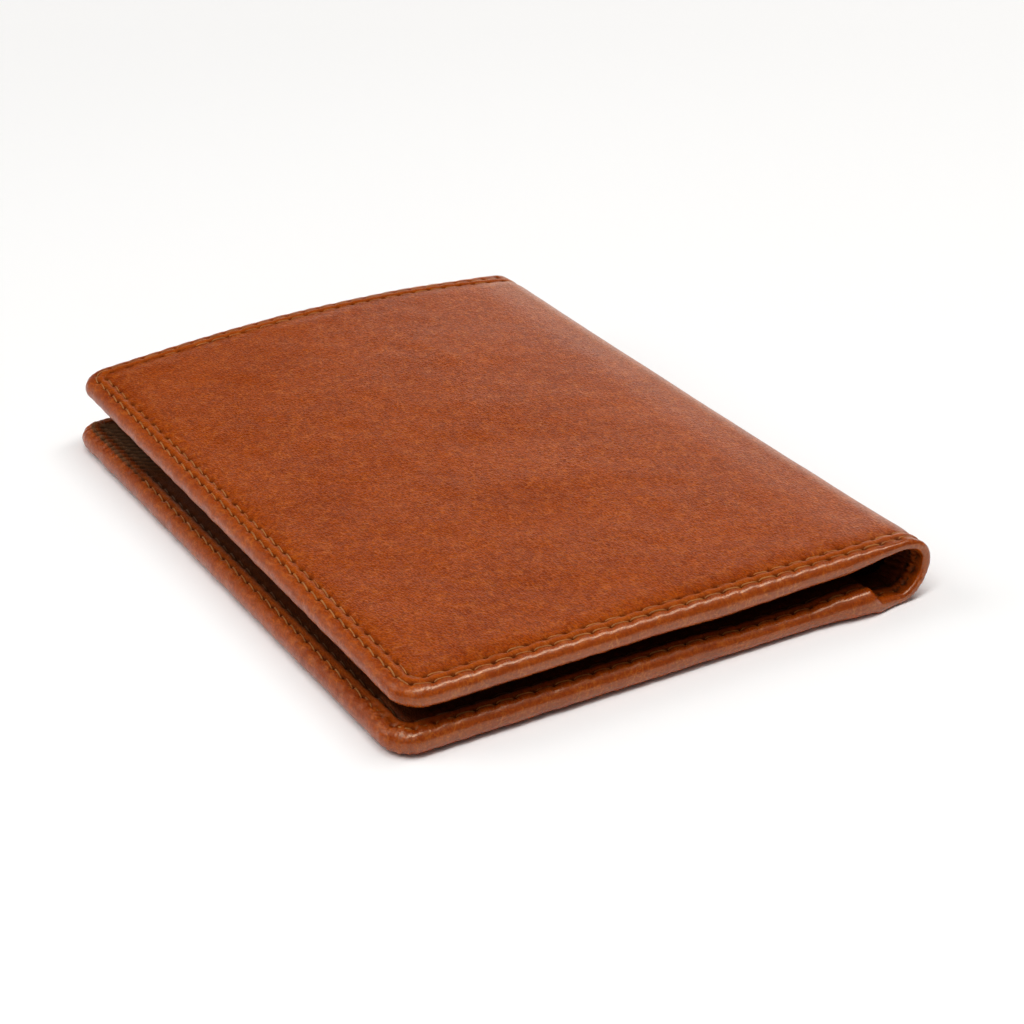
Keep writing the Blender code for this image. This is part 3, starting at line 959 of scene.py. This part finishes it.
for leaf in (BACK, FRONT):
    name, body = leaf.name, f"{leaf.name}_leaf"
    nodes = [f"{name}_cover", *(f"{name}_turned_edge_{side}" for side in ("near", "far", "open"))]
    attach(finish_piece(leaf_cover(leaf), f"{name}_leather", leather, nodes), body)
    for row in ROWS:
        threads = leaf_threads(leaf, row)
        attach(finish_piece(threads, f"{name}_stitches_{row}", thread, [f"{name}_stitching_{row}"]), body)

for index in range(STRIPS):
    number = index + 1
    node = [f"spine_leather_{max(index, 1)}"]
    bend(finish_piece(spine_cover(index), f"spine_skin_{number}", leather, node), index)
    bend(finish_piece(spine_threads(index), f"spine_stitches_{number}", thread), index)
    y = lining_y()
    strip = slab(strip_places(index)[:, None], y, *lining_depths(y))
    node = [f"spine_lining_{max(index, 1)}"]
    bend(finish_piece(strip, f"spine_liner_{number}", lining, node), index)

for leaf, mouth in ((BACK, BACK_MOUTH), (FRONT, FRONT_MOUTH)):
    y = lining_y()
    end = slab(leaf.s(np.linspace(0, mouth - 0.1 * MM, 12))[:, None], y, *lining_depths(y))
    liner = finish_piece(end, f"spine_liner_{leaf.name}", lining, [f"spine_lining_{leaf.name}"])
    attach(liner, f"{leaf.name}_leaf")

for leaf, node, start, low_depth, high_depth in (
    (BACK, "card_pocket_1", BACK_MOUTH, 1.45 * MM, 1.95 * MM),
    (BACK, "card_pocket_2", 24 * MM, 2.0 * MM, 2.5 * MM),
    (FRONT, "slip_pocket", FRONT_MOUTH, 1.45 * MM, 2.05 * MM),
):
    panel = pocket(leaf, start, low_depth, high_depth)
    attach(finish_piece(panel, f"{node}_leather", lining, [node]), f"{leaf.name}_leaf")

board = solid_look("board_look", (0.36, 0.29, 0.21), (0.50, 0.42, 0.31), 0.85)
hidden_leather = solid_look("hidden_leather_look", (0.05, 0.018, 0.009), (0.09, 0.034, 0.015), 0.62)
for name, material, slot in (
    ("back_board", board, "board"),
    ("front_board", board, "board"),
    ("back_lining", hidden_leather, "inner_leather"),
    ("front_lining", hidden_leather, "inner_leather"),
):
    node = frame["nodes"][name]
    node.data.materials.clear()
    node.data.materials.append(material)

# ---------------------------------------------------------------- floor, light and camera

FLOOR_RADIUS, FLOOR_SIDES, FLOOR_GAP = 2.5, 96, 0.02 * MM
turns = [2 * math.pi * i / FLOOR_SIDES for i in range(FLOOR_SIDES)]
floor_mesh = bpy.data.meshes.new("floor")
rim = [(FLOOR_RADIUS * math.cos(turn), FLOOR_RADIUS * math.sin(turn), 0) for turn in turns]
floor_mesh.from_pydata(rim, [], [range(FLOOR_SIDES)])
floor = bpy.data.objects.new("floor", floor_mesh)
floor.location.z = -FLOOR_GAP
bpy.context.scene.collection.objects.link(floor)
floor_mesh.materials.append(floor_look())

scene = bpy.context.scene
scene.view_settings.view_transform = "Standard"
world = bpy.data.worlds.new("studio")
world.use_nodes = True
backdrop = world.node_tree.nodes["Background"]
backdrop.inputs["Color"].default_value = (1, 1, 1, 1)
# The backdrop looks white, but most of the light comes from the softboxes.
seen = world.node_tree.nodes.new("ShaderNodeLightPath").outputs["Is Camera Ray"]
level = world.node_tree.nodes.new("ShaderNodeMapRange")
level.inputs["To Min"].default_value, level.inputs["To Max"].default_value = 0.08, 1.0
world.node_tree.links.new(seen, level.inputs["Value"])
world.node_tree.links.new(level.outputs[0], backdrop.inputs["Strength"])
scene.world = world


def softbox(name, place, target, size, power, tint=(1.0, 1.0, 1.0)):
    lamp = bpy.data.lights.new(name, "AREA")
    lamp.shape = "RECTANGLE"
    lamp.size, lamp.size_y = size
    lamp.energy = power
    lamp.color = tint
    obj = bpy.data.objects.new(name, lamp)
    obj.location = place
    obj.rotation_euler = (Vector(target) - Vector(place)).to_track_quat("-Z", "Y").to_euler()
    scene.collection.objects.link(obj)


ORIGIN = (0, 0, 0)
softbox("ceiling_light", (0.0, 0.0, 1.8), ORIGIN, (3.0, 3.0), 7.6)
softbox("overhead_light", (0.05, -0.18, 0.95), ORIGIN, (1.35, 0.26), 8.2, (1.0, 0.99, 0.975))
softbox("fill_light", (-0.60, -0.50, 0.70), ORIGIN, (0.6, 0.6), 0.7)
softbox("back_light", (-1.2, 0.9, 1.1), (-0.2, 0.3, 0), (1.0, 1.0), 9.0)
softbox("spine_light", (0.76, 0.94, 0.12), ORIGIN, (0.9, 0.16), 2.4, (1.0, 0.87, 0.73))
softbox("edge_light", (-0.62, 0.94, 0.24), ORIGIN, (0.5, 0.25), 0.25, (1.0, 0.86, 0.70))

AZIMUTH, ELEVATION, ROLL = (math.radians(a) for a in (-28.02, 26.108, -2.387))
TARGET = Vector((1.06, -10.16, 4.0)) * MM
DISTANCE = 302.9 * MM
LENS, SENSOR = 83.23, 36.0

camera = bpy.data.objects.new("camera", bpy.data.cameras.new("camera"))
scene.collection.objects.link(camera)
camera.data.sensor_width = SENSOR
camera.data.lens = LENS
camera.data.clip_start, camera.data.clip_end = 0.01, 10
backwards = Vector(
    (math.sin(AZIMUTH) * math.cos(ELEVATION), -math.cos(AZIMUTH) * math.cos(ELEVATION), math.sin(ELEVATION))
)
right = (-backwards).cross(Vector((0, 0, 1))).normalized()
up = right.cross(-backwards)
right, up = right * math.cos(ROLL) + up * math.sin(ROLL), up * math.cos(ROLL) - right * math.sin(ROLL)
turned = Matrix((right, up, backwards)).transposed().to_4x4()
camera.matrix_world = Matrix.Translation(TARGET + backwards * DISTANCE) @ turned
scene.camera = camera

bpy.context.view_layer.update()
